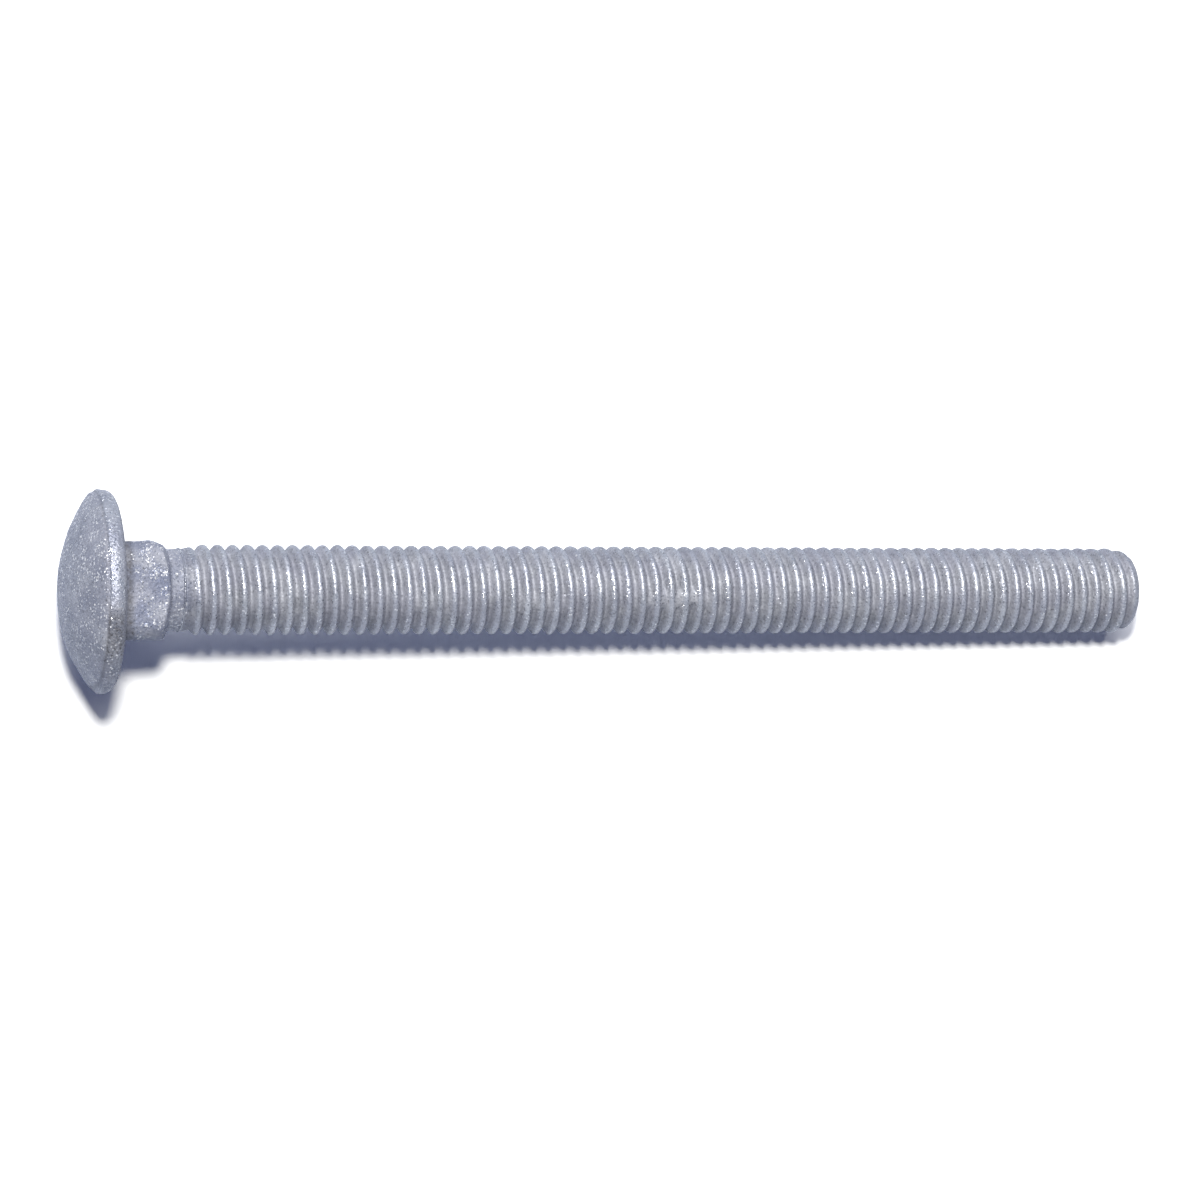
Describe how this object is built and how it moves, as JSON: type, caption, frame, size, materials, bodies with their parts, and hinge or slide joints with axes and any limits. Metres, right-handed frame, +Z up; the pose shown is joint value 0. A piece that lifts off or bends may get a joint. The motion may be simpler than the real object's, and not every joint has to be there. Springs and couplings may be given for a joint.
{
  "type": "carriage bolt",
  "caption": "Galvanized carriage bolt with a low domed head, a square neck and a shank threaded along its whole length, lying on its side.",
  "frame": {"origin": "on the floor, midway along the lying bolt and under its axis", "axes": "+X from the head towards the tip, +Y across the shank, +Z up; the shank's axis falls 2.95 degrees from the head to the tip, because the head's rim is wider than the thread"},
  "size_m": [0.119, 0.021, 0.021],
  "materials": {
    "zinc_coated_steel": "hot-dip galvanized: matte pale grey with fine sparkle and small lumps"
  },
  "bodies": {
    "root": {"carriage_bolt": "zinc_coated_steel"}
  },
  "joints": []
}
